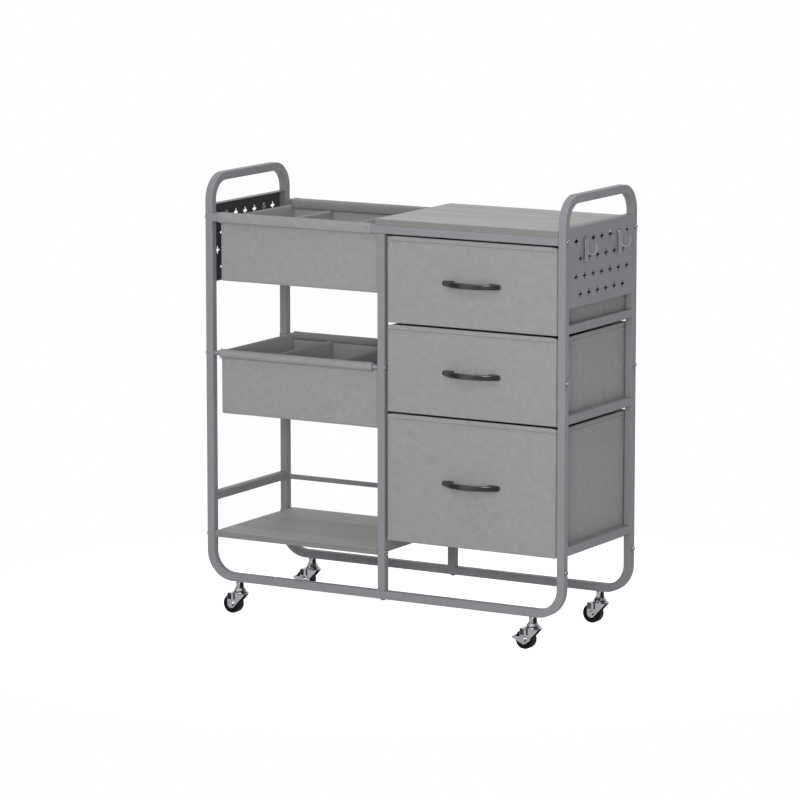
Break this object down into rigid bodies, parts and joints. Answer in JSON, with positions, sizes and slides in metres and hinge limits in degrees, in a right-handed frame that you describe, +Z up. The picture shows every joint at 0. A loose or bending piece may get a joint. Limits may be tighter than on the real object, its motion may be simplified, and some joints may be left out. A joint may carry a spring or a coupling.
{
  "type": "rolling drawer cart",
  "caption": "Rolling storage cart: square tube frame on swivel casters, fabric drawers under a board top, hanging fabric baskets over a shelf, perforated end panels with hooks.",
  "frame": {"origin": "on the floor, under the middle of the whole cart's bounding box", "axes": "+X to the cart's right end, -Y to the drawer fronts, +Z up"},
  "size_m": [0.854, 0.3225, 0.8714],
  "materials": {
    "frame_grey": "satin",
    "board_grey": "matte",
    "cloth_grey": "woven",
    "stiffener_board": "matte",
    "pull_grey": "gloss",
    "zinc_steel": "satin",
    "plug_plastic": "matte",
    "wheel_black": "satin"
  },
  "bodies": {
    "cart": {"handle_frame_left": "frame_grey", "handle_frame_right": "frame_grey", "side_frame_left": "frame_grey", "side_frame_right": "frame_grey", "base_tube_front": "frame_grey", "base_tube_rear": "frame_grey", "middle_frame": "frame_grey", "top_rail_front": "frame_grey", "top_rail_rear": "frame_grey", "basket_rod_front": "frame_grey", "basket_rod_rear": "frame_grey", "guard_rod_rear": "frame_grey", "pegboard_left": "frame_grey", "pegboard_right": "frame_grey", "hooks_left": "frame_grey", "hooks_right": "frame_grey", "drawer_1_runners": "frame_grey", "drawer_2_runners": "frame_grey", "drawer_3_runners": "frame_grey", "tube_connectors": "plug_plastic", "tabletop": "board_grey", "shelf_board": "board_grey", "frame_bolts": "zinc_steel", "tabletop_screws": "zinc_steel", "caster_stems": "zinc_steel", "basket_upper": "cloth_grey", "basket_upper_dividers": "cloth_grey", "basket_upper_bottom_board": "stiffener_board", "basket_lower": "cloth_grey", "basket_lower_dividers": "cloth_grey", "basket_lower_bottom_board": "stiffener_board"},
    "drawer_1": {"drawer_1_box": "cloth_grey", "drawer_1_front_board": "stiffener_board", "drawer_1_bottom_board": "stiffener_board", "drawer_1_pull": "pull_grey", "drawer_1_pull_screws": "zinc_steel"},
    "drawer_2": {"drawer_2_box": "cloth_grey", "drawer_2_front_board": "stiffener_board", "drawer_2_bottom_board": "stiffener_board", "drawer_2_pull": "pull_grey", "drawer_2_pull_screws": "zinc_steel"},
    "drawer_3": {"drawer_3_box": "cloth_grey", "drawer_3_front_board": "stiffener_board", "drawer_3_bottom_board": "stiffener_board", "drawer_3_pull": "pull_grey", "drawer_3_pull_screws": "zinc_steel"},
    "caster_front_left_swivel": {"caster_front_left_fork": "zinc_steel", "caster_front_left_axle": "zinc_steel"},
    "caster_front_left_roller": {"caster_front_left_wheel": "wheel_black"},
    "caster_front_right_swivel": {"caster_front_right_fork": "zinc_steel", "caster_front_right_axle": "zinc_steel"},
    "caster_front_right_roller": {"caster_front_right_wheel": "wheel_black"},
    "caster_front_right_brake": {"caster_front_right_brake_lever": "zinc_steel"},
    "caster_rear_left_swivel": {"caster_rear_left_fork": "zinc_steel", "caster_rear_left_axle": "zinc_steel"},
    "caster_rear_left_roller": {"caster_rear_left_wheel": "wheel_black"},
    "caster_rear_left_brake": {"caster_rear_left_brake_lever": "zinc_steel"},
    "caster_rear_right_swivel": {"caster_rear_right_fork": "zinc_steel", "caster_rear_right_axle": "zinc_steel"},
    "caster_rear_right_roller": {"caster_rear_right_wheel": "wheel_black"}
  },
  "joints": [
    {"name": "drawer_1_slide", "type": "slide", "parent": "cart", "child": "drawer_1", "axis": [0, -1, 0], "range_m": [0, 0.22]},
    {"name": "drawer_2_slide", "type": "slide", "parent": "cart", "child": "drawer_2", "axis": [0, -1, 0], "range_m": [0, 0.22]},
    {"name": "drawer_3_slide", "type": "slide", "parent": "cart", "child": "drawer_3", "axis": [0, -1, 0], "range_m": [0, 0.22]},
    {"name": "caster_front_left_turn", "type": "hinge", "parent": "cart", "child": "caster_front_left_swivel", "pos_m": [-0.3295, -0.13065, 0.0404], "axis": [0, 0, 1], "continuous": true},
    {"name": "caster_front_left_roll", "type": "hinge", "parent": "caster_front_left_swivel", "child": "caster_front_left_roller", "pos_m": [-0.3442, -0.13065, 0.019], "axis": [0, 1, 0], "continuous": true},
    {"name": "caster_front_right_turn", "type": "hinge", "parent": "cart", "child": "caster_front_right_swivel", "pos_m": [0.3295, -0.13065, 0.0404], "axis": [0, 0, 1], "continuous": true},
    {"name": "caster_front_right_roll", "type": "hinge", "parent": "caster_front_right_swivel", "child": "caster_front_right_roller", "pos_m": [0.3148, -0.13065, 0.019], "axis": [0, 1, 0], "continuous": true},
    {"name": "caster_front_right_brake", "type": "hinge", "parent": "caster_front_right_swivel", "child": "caster_front_right_brake", "pos_m": [0.3148, -0.13065, 0.019], "axis": [0, 1, 0], "range_deg": [0, 20]},
    {"name": "caster_rear_left_turn", "type": "hinge", "parent": "cart", "child": "caster_rear_left_swivel", "pos_m": [-0.3295, 0.14535, 0.0404], "axis": [0, 0, 1], "continuous": true},
    {"name": "caster_rear_left_roll", "type": "hinge", "parent": "caster_rear_left_swivel", "child": "caster_rear_left_roller", "pos_m": [-0.3442, 0.14535, 0.019], "axis": [0, 1, 0], "continuous": true},
    {"name": "caster_rear_left_brake", "type": "hinge", "parent": "caster_rear_left_swivel", "child": "caster_rear_left_brake", "pos_m": [-0.3442, 0.14535, 0.019], "axis": [0, 1, 0], "range_deg": [0, 20]},
    {"name": "caster_rear_right_turn", "type": "hinge", "parent": "cart", "child": "caster_rear_right_swivel", "pos_m": [0.3295, 0.14535, 0.0404], "axis": [0, 0, 1], "continuous": true},
    {"name": "caster_rear_right_roll", "type": "hinge", "parent": "caster_rear_right_swivel", "child": "caster_rear_right_roller", "pos_m": [0.3148, 0.14535, 0.019], "axis": [0, 1, 0], "continuous": true}
  ]
}
